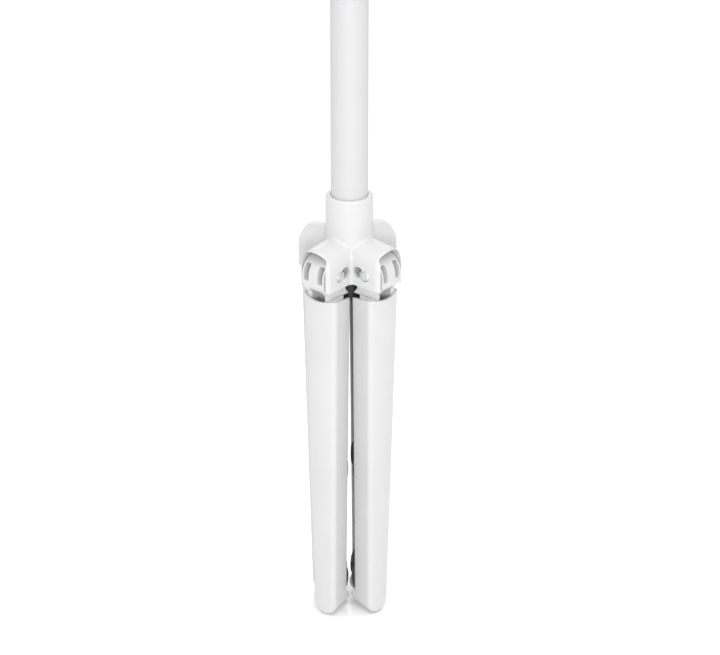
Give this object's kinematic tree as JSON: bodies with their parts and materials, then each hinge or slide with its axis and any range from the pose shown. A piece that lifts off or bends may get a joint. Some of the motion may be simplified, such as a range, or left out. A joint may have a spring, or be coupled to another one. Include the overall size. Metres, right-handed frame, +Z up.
{
  "type": "rotary clothesline stand",
  "caption": "White folding stand of a free-standing rotary clothesline: a round mast in a collared hub whose channel legs swing out from straight down to level.",
  "frame": {"origin": "on the floor under the mast axis, at the tips of the folded legs", "axes": "+Z up along the mast, -Y to the front, the legs on the diagonals of X and Y"},
  "size_m": [0.0934, 0.0934, 0.856],
  "materials": {
    "white_plastic": "satin injection moulded white plastic",
    "mast_white": "white powder coat, satin",
    "grey_plastic": "fine matt moulded plastic",
    "dark_plastic": "matt moulded dark grey plastic",
    "steel": "zinc plated steel",
    "dark_rubber": "matt rubber"
  },
  "bodies": {
    "stand": {"mast_tube": "mast_white", "mast_bush": "grey_plastic", "mast_foot_plug": "grey_plastic", "mast_bolt": "steel", "mast_bolt_washer": "steel", "hub_body": "white_plastic", "hub_cover": "dark_plastic", "hub_cover_screws": "steel", "pin_clips": "steel", "pivot_pin_front_right": "steel", "pivot_pin_back_right": "steel", "pivot_pin_back_left": "steel", "pivot_pin_front_left": "steel", "pivot_washers_front_right": "steel", "pivot_washers_back_right": "steel", "pivot_washers_back_left": "steel", "pivot_washers_front_left": "steel"},
    "leg_front_right": {"leg_shell_front_right": "white_plastic", "leg_knuckle_front_right": "white_plastic", "leg_screws_front_right": "steel", "leg_bumper_front_right": "dark_rubber", "foot_pad_front_right": "dark_rubber"},
    "leg_back_right": {"leg_shell_back_right": "white_plastic", "leg_knuckle_back_right": "white_plastic", "leg_screws_back_right": "steel", "leg_bumper_back_right": "dark_rubber", "foot_pad_back_right": "dark_rubber"},
    "leg_back_left": {"leg_shell_back_left": "white_plastic", "leg_knuckle_back_left": "white_plastic", "leg_screws_back_left": "steel", "leg_bumper_back_left": "dark_rubber", "foot_pad_back_left": "dark_rubber"},
    "leg_front_left": {"leg_shell_front_left": "white_plastic", "leg_knuckle_front_left": "white_plastic", "leg_screws_front_left": "steel", "leg_bumper_front_left": "dark_rubber", "foot_pad_front_left": "dark_rubber"}
  },
  "joints": [
    {"name": "leg_pivot_front_right", "type": "hinge", "parent": "stand", "child": "leg_front_right", "pos_m": [0.0239, -0.0239, 0.37197], "axis": [-0.7071, -0.7071, 0], "range_deg": [0, 90]},
    {"name": "leg_pivot_back_right", "type": "hinge", "parent": "stand", "child": "leg_back_right", "pos_m": [0.0239, 0.0239, 0.37197], "axis": [0.7071, -0.7071, 0], "range_deg": [0, 90]},
    {"name": "leg_pivot_back_left", "type": "hinge", "parent": "stand", "child": "leg_back_left", "pos_m": [-0.0239, 0.0239, 0.37197], "axis": [0.7071, 0.7071, 0], "range_deg": [0, 90]},
    {"name": "leg_pivot_front_left", "type": "hinge", "parent": "stand", "child": "leg_front_left", "pos_m": [-0.0239, -0.0239, 0.37197], "axis": [-0.7071, 0.7071, 0], "range_deg": [0, 90]}
  ]
}
